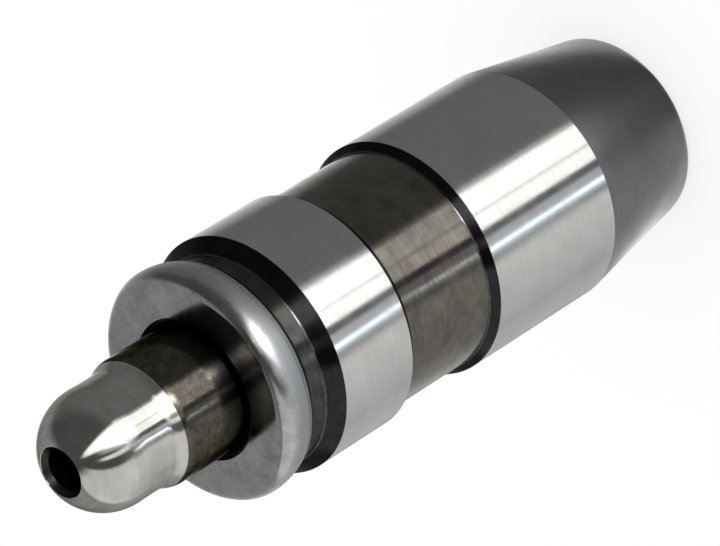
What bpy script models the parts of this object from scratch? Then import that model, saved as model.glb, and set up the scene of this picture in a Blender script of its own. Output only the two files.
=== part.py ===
"""Hydraulic valve lifter of the pivot kind, standing on its flat tail end.

The lifter sits in a blind bore of the cylinder head and a rocker arm swings on its ball nose.
Oil enters at the groove round the body, fills the hollow plunger and passes the check valve
into the chamber below it, where a coil spring keeps the plunger up against the retainer cap.

Sizes below are in millimetres. The origin is the middle of the tail end and +Z points to the nose.
"""

import math

import bmesh
import bpy

MM = 0.001

# Body, from the tail end up
BODY_DIAMETER = 16.0
TAIL_TAPER_LENGTH = 9.7
TAIL_TAPER_DEGREES = 9.7
TAIL_EDGE_RADIUS = 1.05
REAR_LAND_LENGTH = 11.1
OIL_GROOVE_LENGTH = 8.2
OIL_GROOVE_DEPTH = 0.5
FRONT_LAND_LENGTH = 6.05
BODY_NECK_DEPTH = 0.88
BODY_NECK_LENGTH = 4.5
SHOULDER_FILLET_RADIUS = 0.2
BODY_WALL = 1.9
BORE_FLOOR_THICKNESS = 4.0
BORE_FLOOR_FILLET_RADIUS = 0.6
BORE_MOUTH_CHAMFER = 0.25
FEED_HOLE_DIAMETER = 2.0

# Retainer cap, one stamping of sheet steel with a bulging skirt crimped in at its edge
CAP_SHEET = 0.38
CAP_RIM_RADIUS = 1.0
CAP_SKIRT_LENGTH = 2.56
CAP_BULGE = 0.29
CAP_CRIMP = 0.39
CAP_LIP_LENGTH = 0.5
CAP_LIP_INSET = 0.12
CAP_GROOVE_MARGIN = 0.05
CAP_SEAT_CHAMFER = 0.35

# Upper plunger with the ball nose
NOSE_HEIGHT = 11.95
BALL_NOSE_DIAMETER = 7.94
TIP_HOLE_DIAMETER = 3.42
TIP_COUNTERSINK = 0.31
TIP_COUNTERSINK_DEPTH = 0.4
WAIST_UNDERCUT = 0.02
FLARE_START_BELOW_TIP = 5.63
FLARE_LENGTH = 1.44
SHOULDER_WIDTH = 1.735
NECK_FILLET_RADIUS = 0.25
GUIDE_EDGE_CHAMFER = 0.3
NECK_WALL = 1.43
NECK_BORE_END_BELOW_TIP = 6.0
PLUNGER_WALL = 1.67
RESERVOIR_TOP_BELOW_SHOULDER = 3.0
TRANSFER_GROOVE_DEPTH = 0.5
TRANSFER_GROOVE_MARGIN = 0.35
TRANSFER_HOLE_DIAMETER = 1.6
JOINT_BELOW_TRANSFER_GROOVE = 3.55
PLUNGER_STROKE = 3.5

# Lower plunger with the valve seat
VALVE_FLOOR_THICKNESS = 2.05
VALVE_SEAT_DEPTH = 0.6
VALVE_SEAT_INSET = 0.1
CAGE_RECESS_DEPTH = 0.55
CAGE_RECESS_WALL = 0.62

# Check valve: ball, cage and ball spring
BALL_DIAMETER = 4.0
CAGE_SHEET = 0.3
CAGE_FLOOR_BELOW_BALL = 0.93
CAGE_BOTTOM_RESERVE = 0.85
CAGE_BEND_RADIUS = 0.25
CAGE_FLOOR_HOLE_DIAMETER = 1.4
CAGE_WINDOW_COUNT = 3
CAGE_WINDOW_WIDTH = 1.7
CAGE_WINDOW_HEIGHT = 2.2
BALL_SPRING_MEAN_DIAMETER = 2.4
BALL_SPRING_WIRE = 0.16
BALL_SPRING_TURNS = 3.0

# Plunger return spring with closed and ground ends
RETURN_SPRING_INSET = 0.35
RETURN_SPRING_WIRE = 0.8
RETURN_SPRING_TURNS = 5.0
RETURN_SPRING_DEAD_TURNS = 1.0
DEAD_TURN_PITCH_FACTOR = 1.06

# Clearances
PLUNGER_FIT = 0.03
CAP_FIT = 0.05
CAP_HOLE_CLEARANCE = 0.415
CAGE_FIT = 0.1
BALL_IN_CAGE_CLEARANCE = 0.2
SEAT_GAP = 0.05
VALVE_GAP = 0.03

# Facets
BODY_SEGMENTS = 52
PLUNGER_SEGMENTS = 48
SMALL_SEGMENTS = 28
CURVE_POINTS_PER_TURN = 18

# Radii shared by pieces that fit one another
body_radius = BODY_DIAMETER / 2
bore_radius = body_radius - BODY_WALL
body_neck_radius = body_radius - BODY_NECK_DEPTH
guide_radius = bore_radius - PLUNGER_FIT
cap_inner_radius = body_neck_radius + CAP_BULGE
cap_outer_radius = cap_inner_radius + CAP_SHEET
cap_edge_radius = cap_outer_radius - CAP_CRIMP
cap_lip_radius = cap_edge_radius - CAP_SHEET - CAP_LIP_INSET
cap_groove_radius = cap_lip_radius - CAP_FIT
neck_radius = guide_radius - SHOULDER_WIDTH
cap_hole_radius = neck_radius + CAP_HOLE_CLEARANCE
reservoir_radius = guide_radius - PLUNGER_WALL
ball_radius = BALL_DIAMETER / 2
seat_mouth_radius = ball_radius - VALVE_SEAT_INSET
port_radius = seat_mouth_radius - VALVE_SEAT_DEPTH
cage_recess_radius = guide_radius - CAGE_RECESS_WALL
cage_flange_radius = cage_recess_radius - CAGE_FIT
cage_cup_inner_radius = ball_radius + BALL_IN_CAGE_CLEARANCE
cage_cup_outer_radius = cage_cup_inner_radius + CAGE_SHEET
return_spring_radius = cage_flange_radius - RETURN_SPRING_INSET - RETURN_SPRING_WIRE / 2

# Heights above the tail end: the body, the cap and the top of the plunger
groove_start_z = TAIL_TAPER_LENGTH + REAR_LAND_LENGTH
groove_end_z = groove_start_z + OIL_GROOVE_LENGTH
front_land_end_z = groove_end_z + FRONT_LAND_LENGTH
body_top_z = front_land_end_z + BODY_NECK_LENGTH
cap_underside_z = body_top_z + SEAT_GAP
cap_top_z = cap_underside_z + CAP_SHEET
cap_edge_z = cap_top_z - CAP_SKIRT_LENGTH
shoulder_z = cap_underside_z - SEAT_GAP
tip_z = shoulder_z + NOSE_HEIGHT

# The transfer groove faces the feed hole over the plunger's whole stroke
feed_hole_z = (groove_start_z + groove_end_z) / 2
transfer_groove_low_z = feed_hole_z - FEED_HOLE_DIAMETER / 2 - TRANSFER_GROOVE_MARGIN
transfer_groove_high_z = feed_hole_z + FEED_HOLE_DIAMETER / 2 + TRANSFER_GROOVE_MARGIN + PLUNGER_STROKE
joint_z = transfer_groove_low_z - JOINT_BELOW_TRANSFER_GROOVE
lower_top_z = joint_z - SEAT_GAP

# The pressure chamber leaves room for the stroke, and the check valve is stacked on it.
# The seat is a 45 degree cone, so the ball touches it at a height that follows from both sizes.
cage_bottom_z = BORE_FLOOR_THICKNESS + PLUNGER_STROKE + CAGE_BOTTOM_RESERVE
cage_floor_z = cage_bottom_z + CAGE_SHEET
ball_z = cage_floor_z + CAGE_FLOOR_BELOW_BALL + ball_radius
valve_face_z = ball_z - seat_mouth_radius + math.sqrt(2) * (ball_radius + VALVE_GAP)
cage_top_z = valve_face_z - VALVE_GAP
lower_bottom_z = valve_face_z - CAGE_RECESS_DEPTH


def clear_scene():
    for old in list(bpy.data.objects):
        bpy.data.objects.remove(old, do_unlink=True)


def new_collection(name):
    collection = bpy.data.collections.new(name)
    bpy.context.scene.collection.children.link(collection)
    return collection


def metal(name, colour, roughness):
    material = bpy.data.materials.new(name)
    material.use_nodes = True
    shader = material.node_tree.nodes["Principled BSDF"]
    shader.inputs["Base Color"].default_value = (*colour, 1.0)
    shader.inputs["Metallic"].default_value = 1.0
    shader.inputs["Roughness"].default_value = roughness
    return material


def arc(centre_radius, centre_z, radius, start_degrees, end_degrees, steps):
    """Profile points on an arc, with 0 degrees pointing outwards and 90 degrees up."""
    points = []
    for step in range(steps + 1):
        angle = math.radians(start_degrees + (end_degrees - start_degrees) * step / steps)
        points.append((centre_radius + radius * math.cos(angle), centre_z + radius * math.sin(angle)))
    return points


def turned_object(name, profile, closed, segments, base_z, collection):
    """Turn a profile of (radius, height) pairs, which runs down its outer side, about the Z axis.

    The heights are those of the assembled lifter, and the object's origin lies at base_z.
    """
    mesh = bpy.data.meshes.new(name)
    edit = bmesh.new()
    corners = [edit.verts.new((radius * MM, 0.0, (height - base_z) * MM)) for radius, height in profile]
    for first, second in zip(corners, corners[1:]):
        edit.edges.new((first, second))
    if closed:
        edit.edges.new((corners[-1], corners[0]))
    edit.to_mesh(mesh)
    edit.free()
    turned = bpy.data.objects.new(name, mesh)
    turned.location.z = base_z * MM
    collection.objects.link(turned)
    screw = turned.modifiers.new("Turn", "SCREW")
    screw.axis = "Z"
    screw.angle = math.tau
    screw.steps = segments
    screw.render_steps = segments
    screw.use_merge_vertices = True
    screw.merge_threshold = 0.000001
    return turned


def cut(target, cutter, operation="DIFFERENCE"):
    """Boolean between the target and a cutter, which is kept as a wire guide."""
    modifier = target.modifiers.new(cutter.name, "BOOLEAN")
    modifier.operation = operation
    modifier.solver = "EXACT"
    modifier.object = cutter


def as_guide(guide):
    guide.hide_render = True
    guide.display_type = "WIRE"


def into_collection(thing, collection):
    for old in list(thing.users_collection):
        old.objects.unlink(thing)
    collection.objects.link(thing)


def radial_drill(name, diameter, inner_radius, outer_radius, height, cutters):
    """Drill along +Y, on the side that the reference photograph does not show."""
    bpy.ops.mesh.primitive_cylinder_add(
        vertices=24,
        radius=diameter / 2 * MM,
        depth=(outer_radius - inner_radius) * MM,
        location=(0.0, (inner_radius + outer_radius) / 2 * MM, height * MM),
        rotation=(math.radians(90), 0.0, 0.0),
    )
    drill = bpy.context.object
    drill.name = name
    into_collection(drill, cutters)
    as_guide(drill)
    return drill


def new_axis(name, height, carrier=None):
    """Empty on the lifter's axis that carries the pieces of one moving group."""
    axis = bpy.data.objects.new(name, None)
    axis.empty_display_size = BODY_DIAMETER / 2 * MM
    bpy.context.scene.collection.objects.link(axis)
    axis.location.z = height * MM
    if carrier:
        hang(axis, carrier)
    return axis


def hang(piece, carrier):
    """Parent the piece to its carrier and leave it where it is."""
    bpy.context.view_layer.update()
    place = piece.matrix_world.copy()
    piece.parent = carrier
    piece.matrix_parent_inverse = carrier.matrix_world.inverted()
    piece.matrix_world = place


def settle(piece, material, carrier, smooth_degrees=32):
    """Give the piece its evaluated mesh, smooth up to an edge angle, its metal and its carrier."""
    depsgraph = bpy.context.evaluated_depsgraph_get()
    evaluated = piece.evaluated_get(depsgraph)
    mesh = bpy.data.meshes.new_from_object(evaluated)
    mesh.name = piece.name
    piece.modifiers.clear()
    piece.data = mesh
    mesh.shade_smooth()
    mesh.set_sharp_from_angle(angle=math.radians(smooth_degrees))
    mesh.materials.clear()
    mesh.materials.append(material)
    hang(piece, carrier)


def chamfered_shoulder(low_radius, low_z, high_radius, up):
    """Points of a 45 degree shoulder that leaves a small radius for a large one.

    The fillet lies in the inner corner. The points run from the small radius to the large one,
    upwards where up is 1 and downwards where up is -1.
    """
    rise = (high_radius - low_radius) * up
    fillet = SHOULDER_FILLET_RADIUS
    setback = fillet * math.tan(math.radians(22.5))
    centre_radius = low_radius + fillet
    centre_z = low_z - setback * up
    fillet_points = arc(centre_radius, centre_z, fillet, 180, 180 - 45 * up, 3)
    return fillet_points + [(high_radius, low_z + rise)]


def body_outline():
    """Open profile: from the axis on the bore's floor, up the bore, over the mouth and down outside."""
    floor_fillet = BORE_FLOOR_FILLET_RADIUS
    bore = [(0.0, BORE_FLOOR_THICKNESS)]
    bore += arc(bore_radius - floor_fillet, BORE_FLOOR_THICKNESS + floor_fillet, floor_fillet, -90, 0, 4)
    mouth = [
        (bore_radius, body_top_z - BORE_MOUTH_CHAMFER),
        (bore_radius + BORE_MOUTH_CHAMFER, body_top_z),
        (body_neck_radius - CAP_SEAT_CHAMFER, body_top_z),
        (body_neck_radius, body_top_z - CAP_SEAT_CHAMFER),
    ]

    groove_depth = body_neck_radius - cap_groove_radius
    groove_top = cap_edge_z + CAP_LIP_LENGTH + CAP_GROOVE_MARGIN
    groove_bottom = cap_edge_z - CAP_GROOVE_MARGIN
    cap_groove = [
        (body_neck_radius, groove_top + groove_depth),
        (cap_groove_radius, groove_top),
        (cap_groove_radius, groove_bottom),
        (body_neck_radius, groove_bottom - groove_depth),
    ]

    neck_end_z = front_land_end_z + body_radius - body_neck_radius
    shoulder = chamfered_shoulder(body_neck_radius, neck_end_z, body_radius, -1)

    floor_radius = body_radius - OIL_GROOVE_DEPTH
    oil_groove = chamfered_shoulder(floor_radius, groove_end_z - OIL_GROOVE_DEPTH, body_radius, 1)[::-1]
    oil_groove += chamfered_shoulder(floor_radius, groove_start_z + OIL_GROOVE_DEPTH, body_radius, -1)
    return bore + mouth + cap_groove + shoulder + oil_groove + tail_outline()


def tail_outline():
    """Taper below the rear land, its rounded edge and the flat end, down to the axis."""
    slope = math.radians(TAIL_TAPER_DEGREES)
    edge = TAIL_EDGE_RADIUS
    taper_radius_at_centre = body_radius - (TAIL_TAPER_LENGTH - edge) * math.tan(slope)
    centre_radius = taper_radius_at_centre - edge / math.cos(slope)
    rounded_edge = arc(centre_radius, edge, edge, -TAIL_TAPER_DEGREES, -90, 6)
    return [(body_radius, TAIL_TAPER_LENGTH)] + rounded_edge + [(0.0, 0.0)]


def build_body(collection, cutters):
    body = turned_object("lifter_body", body_outline(), False, BODY_SEGMENTS, 0.0, collection)
    drill = radial_drill(
        "feed_hole_drill", FEED_HOLE_DIAMETER, bore_radius / 2, BODY_DIAMETER, feed_hole_z, cutters)
    cut(body, drill)
    return body


def build_retainer_cap(collection):
    """Stamped cap: flat face, round rim and a skirt that curves in to a lip in the body's groove."""
    rim_centre_radius = cap_outer_radius - CAP_RIM_RADIUS
    rim_centre_z = cap_top_z - CAP_RIM_RADIUS
    drop = rim_centre_z - cap_edge_z
    skirt_radius = (drop ** 2 + CAP_CRIMP ** 2) / (2 * CAP_CRIMP)
    skirt_centre = cap_outer_radius - skirt_radius
    edge_angle = -math.degrees(math.asin(drop / skirt_radius))
    outside = [(cap_hole_radius, cap_top_z)]
    outside += arc(rim_centre_radius, rim_centre_z, CAP_RIM_RADIUS, 90, 0, 6)
    outside += arc(skirt_centre, rim_centre_z, skirt_radius, 0, edge_angle, 4)[1:]

    rim_inner = CAP_RIM_RADIUS - CAP_SHEET
    skirt_inner = skirt_radius - CAP_SHEET
    lip_angle = -math.degrees(math.asin((drop - CAP_LIP_LENGTH) / skirt_inner))
    inside = [(cap_lip_radius, cap_edge_z), (cap_lip_radius, cap_edge_z + CAP_LIP_LENGTH - CAP_LIP_INSET)]
    inside += arc(skirt_centre, rim_centre_z, skirt_inner, lip_angle, 0, 2)
    inside += arc(rim_centre_radius, rim_centre_z, rim_inner, 0, 90, 3)[1:]
    inside += [(cap_hole_radius, cap_underside_z)]
    return turned_object("retainer_cap", outside + inside, True, BODY_SEGMENTS, cap_edge_z, collection)


def nose_outline():
    """Ball nose, waist, flare and neck, from the tip hole down to the plunger's shoulder."""
    ball = BALL_NOSE_DIAMETER / 2
    waist = ball - WAIST_UNDERCUT
    tip_angle = math.degrees(math.acos(TIP_HOLE_DIAMETER / 2 / ball))
    waist_angle = -math.degrees(math.acos(waist / ball))
    ball_centre_z = tip_z - ball * math.sin(math.radians(tip_angle))
    points = arc(0.0, ball_centre_z, ball, tip_angle, waist_angle, 12)

    flare_start_z = tip_z - FLARE_START_BELOW_TIP
    flare_steps = 6
    for step in range(flare_steps + 1):
        part = step / flare_steps
        swell = (1 - math.cos(math.pi * part)) / 2
        points.append((waist + (neck_radius - waist) * swell, flare_start_z - FLARE_LENGTH * part))

    fillet = NECK_FILLET_RADIUS
    points += arc(neck_radius + fillet, shoulder_z + fillet, fillet, 180, 270, 3)
    return points


def upper_guide_outline():
    """Guided length with the transfer groove, from the shoulder's edge down to the joint face."""
    chamfer = GUIDE_EDGE_CHAMFER
    groove_radius = guide_radius - TRANSFER_GROOVE_DEPTH
    return [
        (guide_radius - chamfer, shoulder_z),
        (guide_radius, shoulder_z - chamfer),
        (guide_radius, transfer_groove_high_z + TRANSFER_GROOVE_DEPTH),
        (groove_radius, transfer_groove_high_z),
        (groove_radius, transfer_groove_low_z),
        (guide_radius, transfer_groove_low_z - TRANSFER_GROOVE_DEPTH),
        (guide_radius, joint_z + chamfer),
        (guide_radius - chamfer, joint_z),
    ]


def upper_bore_outline():
    """Reservoir, neck bore and tip passage, from the joint face up to the tip hole."""
    neck_bore = neck_radius - NECK_WALL
    passage = TIP_HOLE_DIAMETER / 2 - TIP_COUNTERSINK
    reservoir_top = shoulder_z - RESERVOIR_TOP_BELOW_SHOULDER
    neck_bore_top = tip_z - NECK_BORE_END_BELOW_TIP
    return [
        (reservoir_radius, joint_z),
        (reservoir_radius, reservoir_top),
        (neck_bore, reservoir_top + reservoir_radius - neck_bore),
        (neck_bore, neck_bore_top),
        (passage, neck_bore_top + neck_bore - passage),
        (passage, tip_z - TIP_COUNTERSINK_DEPTH),
    ]


def build_upper_plunger(collection, cutters):
    profile = nose_outline() + upper_guide_outline() + upper_bore_outline()
    plunger = turned_object("upper_plunger", profile, True, PLUNGER_SEGMENTS, joint_z, collection)
    hole_z = (transfer_groove_low_z + transfer_groove_high_z) / 2
    drill = radial_drill(
        "transfer_hole_drill", TRANSFER_HOLE_DIAMETER, reservoir_radius / 2, BODY_DIAMETER, hole_z, cutters)
    cut(plunger, drill)
    return plunger


def build_lower_plunger(collection):
    """Cup that closes the reservoir, with the valve port, its conical seat and the cage's recess."""
    chamfer = GUIDE_EDGE_CHAMFER
    cup_floor_z = valve_face_z + VALVE_FLOOR_THICKNESS
    outside = [
        (guide_radius - chamfer, lower_top_z),
        (guide_radius, lower_top_z - chamfer),
        (guide_radius, lower_bottom_z + chamfer),
        (guide_radius - chamfer, lower_bottom_z),
    ]
    underside = [
        (cage_recess_radius, lower_bottom_z),
        (cage_recess_radius, valve_face_z),
        (seat_mouth_radius, valve_face_z),
        (port_radius, valve_face_z + VALVE_SEAT_DEPTH),
    ]
    inside = [
        (port_radius, cup_floor_z),
        (reservoir_radius - chamfer, cup_floor_z),
        (reservoir_radius, cup_floor_z + chamfer),
        (reservoir_radius, lower_top_z),
    ]
    profile = outside + underside + inside
    return turned_object("lower_plunger", profile, True, PLUNGER_SEGMENTS, lower_bottom_z, collection)


def build_check_ball(collection):
    bpy.ops.mesh.primitive_uv_sphere_add(
        segments=SMALL_SEGMENTS, ring_count=14, radius=ball_radius * MM, location=(0.0, 0.0, ball_z * MM))
    ball = bpy.context.object
    ball.name = "check_ball"
    into_collection(ball, collection)
    return ball


def build_ball_cage(collection, cutters):
    """Stamped cup with a flange, side windows and a floor hole, so that oil flows round the ball."""
    bend_in = CAGE_BEND_RADIUS
    bend_out = bend_in + CAGE_SHEET
    flange_under_z = cage_top_z - CAGE_SHEET
    hole = CAGE_FLOOR_HOLE_DIAMETER / 2
    mouth_centre = cage_cup_outer_radius + bend_in
    floor_centre = cage_cup_inner_radius - bend_in

    outside = [(cage_flange_radius, cage_top_z), (cage_flange_radius, flange_under_z)]
    outside += arc(mouth_centre, flange_under_z - bend_in, bend_in, 90, 180, 3)
    outside += arc(floor_centre, cage_floor_z + bend_in, bend_out, 0, -90, 3)
    inside = [(hole, cage_bottom_z), (hole, cage_floor_z)]
    inside += arc(floor_centre, cage_floor_z + bend_in, bend_in, -90, 0, 3)
    inside += arc(mouth_centre, flange_under_z - bend_in, bend_out, 180, 90, 3)
    cage = turned_object("ball_cage", outside + inside, True, SMALL_SEGMENTS, cage_bottom_z, collection)

    window_z = (flange_under_z + cage_floor_z) / 2
    for number in range(CAGE_WINDOW_COUNT):
        angle = math.tau * number / CAGE_WINDOW_COUNT
        bpy.ops.mesh.primitive_cube_add(
            size=1.0,
            location=(
                cage_cup_outer_radius * math.cos(angle) * MM,
                cage_cup_outer_radius * math.sin(angle) * MM,
                window_z * MM,
            ),
            rotation=(0.0, 0.0, angle),
        )
        punch = bpy.context.object
        punch.name = f"window_punch_{number + 1}"
        punch.dimensions = (cage_cup_inner_radius * MM, CAGE_WINDOW_WIDTH * MM, CAGE_WINDOW_HEIGHT * MM)
        into_collection(punch, cutters)
        as_guide(punch)
        cut(cage, punch)
    return cage


def coil_height(turn, turns, dead_turns, dead_pitch, height):
    """Height of the wire's middle above the coil's first point, for a coil with closed ends."""
    active_turns = turns - 2 * dead_turns
    active_pitch = (height - 2 * dead_turns * dead_pitch) / active_turns
    if turn < dead_turns:
        return turn * dead_pitch
    if turn > turns - dead_turns:
        return height - (turns - turn) * dead_pitch
    return dead_turns * dead_pitch + (turn - dead_turns) * active_pitch


def coil_curve(name, mean_radius, wire, turns, dead_turns, low_z, high_z, collection):
    """Round wire wound about the Z axis from the origin at low_z, its middle ending at high_z."""
    curve = bpy.data.curves.new(name, "CURVE")
    curve.dimensions = "3D"
    curve.bevel_depth = wire / 2 * MM
    curve.bevel_resolution = 2
    curve.use_fill_caps = True
    spline = curve.splines.new("POLY")
    count = round(turns * CURVE_POINTS_PER_TURN)
    spline.points.add(count)
    dead_pitch = wire * DEAD_TURN_PITCH_FACTOR
    for index in range(count + 1):
        turn = turns * index / count
        angle = math.tau * turn
        height = coil_height(turn, turns, dead_turns, dead_pitch, high_z - low_z)
        spline.points[index].co = (
            mean_radius * math.cos(angle) * MM, mean_radius * math.sin(angle) * MM, height * MM, 1.0)
    coil = bpy.data.objects.new(name, curve)
    coil.location.z = low_z * MM
    collection.objects.link(coil)
    return coil


def coil_to_mesh(coil, collection):
    """Mesh copy of a coil with its end caps welded, in place of the curve."""
    depsgraph = bpy.context.evaluated_depsgraph_get()
    mesh = bpy.data.meshes.new_from_object(coil.evaluated_get(depsgraph))
    edit = bmesh.new()
    edit.from_mesh(mesh)
    bmesh.ops.remove_doubles(edit, verts=edit.verts, dist=0.000001)
    edit.to_mesh(mesh)
    edit.free()
    name = coil.name
    place = coil.matrix_world.copy()
    bpy.data.objects.remove(coil, do_unlink=True)
    wound = bpy.data.objects.new(name, mesh)
    wound.matrix_world = place
    collection.objects.link(wound)
    return wound


def build_ball_spring(collection):
    """Light coil between the cage's floor and the ball, which it holds on its seat."""
    mean_radius = BALL_SPRING_MEAN_DIAMETER / 2
    wire_radius = BALL_SPRING_WIRE / 2
    low_z = cage_floor_z + VALVE_GAP + wire_radius
    reach = ball_radius + wire_radius + VALVE_GAP
    high_z = ball_z - math.sqrt(reach ** 2 - mean_radius ** 2)
    coil = coil_curve(
        "check_ball_spring", mean_radius, BALL_SPRING_WIRE, BALL_SPRING_TURNS, 0.0, low_z, high_z, collection)
    return coil_to_mesh(coil, collection)


def build_return_spring(collection, cutters):
    """Coil under the cage's flange, wound past both ends and ground flat on them."""
    low_z = BORE_FLOOR_THICKNESS + SEAT_GAP
    high_z = cage_top_z - CAGE_SHEET - SEAT_GAP
    end_inset = RETURN_SPRING_WIRE / 8
    coil = coil_curve(
        "plunger_return_spring", return_spring_radius, RETURN_SPRING_WIRE, RETURN_SPRING_TURNS,
        RETURN_SPRING_DEAD_TURNS, low_z + end_inset, high_z - end_inset, collection)
    spring = coil_to_mesh(coil, collection)
    bpy.ops.mesh.primitive_cylinder_add(
        vertices=SMALL_SEGMENTS,
        radius=bore_radius * MM,
        depth=(high_z - low_z) * MM,
        location=(0.0, 0.0, (high_z + low_z) / 2 * MM),
    )
    envelope = bpy.context.object
    envelope.name = "spring_grinding_envelope"
    into_collection(envelope, cutters)
    as_guide(envelope)
    cut(spring, envelope, "INTERSECT")
    return spring


def main():
    clear_scene()
    parts = new_collection("hydraulic_valve_lifter")
    cutters = new_collection("cutters")

    ground_steel = metal("ground_steel", (0.60, 0.60, 0.58), 0.22)
    zinc_steel = metal("zinc_plated_sheet", (0.48, 0.49, 0.49), 0.38)
    polished_steel = metal("polished_steel", (0.66, 0.66, 0.64), 0.12)
    plain_steel = metal("plain_plunger_steel", (0.50, 0.50, 0.49), 0.30)
    bearing_steel = metal("bearing_steel", (0.72, 0.72, 0.72), 0.08)
    cage_steel = metal("cage_sheet_steel", (0.46, 0.45, 0.42), 0.34)
    spring_steel = metal("spring_steel", (0.36, 0.35, 0.33), 0.36)
    fine_spring_steel = metal("fine_spring_steel", (0.42, 0.41, 0.39), 0.34)

    housing = new_axis("housing", 0.0)
    plunger = new_axis("plunger_slide_axis", lower_bottom_z, housing)
    nose = new_axis("nose_turn_axis", joint_z, plunger)
    valve = new_axis("check_ball_axis", ball_z, plunger)

    settle(build_body(parts, cutters), ground_steel, housing)
    settle(build_retainer_cap(parts), zinc_steel, housing)
    settle(build_return_spring(parts, cutters), spring_steel, housing)
    settle(build_upper_plunger(parts, cutters), polished_steel, nose)
    settle(build_lower_plunger(parts), plain_steel, plunger)
    settle(build_ball_cage(parts, cutters), cage_steel, plunger)
    settle(build_ball_spring(parts), fine_spring_steel, plunger)
    settle(build_check_ball(parts), bearing_steel, valve)


main()
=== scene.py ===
"""Looks of a hydraulic valve lifter: turned, ground, hardened and stamped steel in a soft studio.

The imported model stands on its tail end. The body, the cap, the upper plunger and both springs are
made again here with fine edges, round wire and finishes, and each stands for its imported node. The
lower plunger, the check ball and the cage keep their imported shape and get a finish. Sizes below are
in millimetres.
"""

import math

import bmesh
import bpy
from mathutils import Matrix, Vector


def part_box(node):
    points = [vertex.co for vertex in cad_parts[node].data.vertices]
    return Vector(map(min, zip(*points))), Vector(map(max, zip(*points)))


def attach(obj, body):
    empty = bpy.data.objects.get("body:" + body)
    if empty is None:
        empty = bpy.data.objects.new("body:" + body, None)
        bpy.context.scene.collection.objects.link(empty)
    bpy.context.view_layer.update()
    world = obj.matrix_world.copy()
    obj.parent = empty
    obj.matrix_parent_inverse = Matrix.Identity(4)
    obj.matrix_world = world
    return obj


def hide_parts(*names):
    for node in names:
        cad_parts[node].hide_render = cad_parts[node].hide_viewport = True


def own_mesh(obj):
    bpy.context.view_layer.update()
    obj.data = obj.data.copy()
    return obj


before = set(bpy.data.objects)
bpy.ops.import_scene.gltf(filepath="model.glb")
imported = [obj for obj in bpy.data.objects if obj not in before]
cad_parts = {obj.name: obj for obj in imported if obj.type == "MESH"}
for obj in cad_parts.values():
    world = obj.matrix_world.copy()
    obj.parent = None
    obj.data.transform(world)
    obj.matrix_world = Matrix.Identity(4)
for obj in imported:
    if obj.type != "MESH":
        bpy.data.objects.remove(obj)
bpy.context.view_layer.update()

MM = 0.001
FULL_TURN_SEGMENTS = 288
AXIS_TOLERANCE = 1e-6
DRILL_SIDES = 64
SMOOTH_DEGREES = 32
WIRE_SMOOTH_DEGREES = 50


def box_mm(node):
    """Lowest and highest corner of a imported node, in mm."""
    low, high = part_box(node)
    return low / MM, high / MM


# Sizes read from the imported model
body_high = box_mm("lifter_body")[1]
cap_low, cap_high = box_mm("retainer_cap")
plunger_low, plunger_high = box_mm("upper_plunger")
spring_low, spring_high = box_mm("plunger_return_spring")
ball_spring_low, ball_spring_high = box_mm("check_ball_spring")
body_radius = body_high.x
body_top_z = body_high.z
cap_radius = cap_high.x
cap_top_z = cap_high.z
cap_edge_z = cap_low.z
guide_radius = plunger_high.x
joint_z = plunger_low.z
tip_z = plunger_high.z

# Body
TAIL_TAPER_LENGTH = 9.7
TAIL_TAPER_DEGREES = 9.7
TAIL_EDGE_RADIUS = 1.05
TAIL_EDGE_STEPS = 16
LAND_FOOT_HEIGHT = 0.1
LAND_FOOT_BREAK = 0.004
GROOVE_START_Z = 20.8
GROOVE_END_Z = 29.0
GROOVE_DEPTH = 0.5
FRONT_LAND_END_Z = 35.05
BODY_NECK_DEPTH = 0.88
SHOULDER_DEGREES = 45
SHOULDER_FILLET = 0.2
SHOULDER_FILLET_STEPS = 6
# Fillet point of each shoulder where the lighter band, a painted highlight, begins
HIGHLIGHT_FILLET_START = 2
BODY_WALL = 1.9
BORE_FLOOR_Z = 4.0
BORE_FLOOR_FILLET = 0.6
BORE_FLOOR_FILLET_STEPS = 8
BORE_MOUTH_CHAMFER = 0.25
CAP_SEAT_CHAMFER = 0.35
LAND_EDGE_BREAK = 0.05
LAND_EDGE_STEPS = 4
FEED_HOLE_RADIUS = 1.0
CAP_GROOVE_DEPTH = 0.27
CAP_GROOVE_MARGIN = 0.05

# Retainer cap. It grows duller and darker from two depths under its face down to a third one.
CAP_SHEET = 0.38
CAP_RIM_RADIUS = 1.0
CAP_RIM_STEPS = 28
CAP_RIM_INNER_STEPS = 8
CAP_CRIMP = 0.39
CAP_SKIRT_STEPS = 40
CAP_SKIRT_INNER_STEPS = 6
CAP_HOLE_RADIUS = 4.75
CAP_HOLE_EDGE = 0.04
CAP_LIP_LENGTH = 0.5
CAP_LIP_INSET = 0.12
CAP_EDGE_ROUND = 0.13
CAP_EDGE_ROUND_START_DEGREES = -20
CAP_EDGE_STEPS = 5
CAP_TRIM_LINE_HEIGHT = 0.40
CAP_TRIM_LINE_WIDTH = 0.10
CAP_TRIM_LINE_DEPTH = 0.07
CAP_DULL_START = 0.1
CAP_DARK_START = 0.5
CAP_TONE_END = 1.3

# Upper plunger. Its neck grows dark between two heights over its shoulder, a painted shade just above the
# cap.
BALL_NOSE_RADIUS = 3.97
BALL_NOSE_STEPS = 48
WAIST_UNDERCUT = 0.02
WAIST_STEPS = 12
BALL_END_DEGREES = 2.0
TIP_HOLE_RADIUS = 1.71
TIP_HOLE_EDGE = 0.03
TIP_PASSAGE_RADIUS = 1.4
TIP_COUNTERSINK_DEPTH = 0.4
NECK_RADIUS = 4.335
FLARE_START_BELOW_TIP = 5.63
FLARE_LENGTH = 1.44
FLARE_STEPS = 40
POLISHED_FLARE_STEPS = 26
NECK_FILLET = 0.25
NECK_FILLET_STEPS = 8
NECK_SHADE_START = 2.2
NECK_SHADE_END = 0.9
SHOULDER_Z = 39.55
GUIDE_CHAMFER = 0.3
TRANSFER_GROOVE_LOW_Z = 23.55
TRANSFER_GROOVE_HIGH_Z = 29.75
TRANSFER_GROOVE_DEPTH = 0.5
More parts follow.
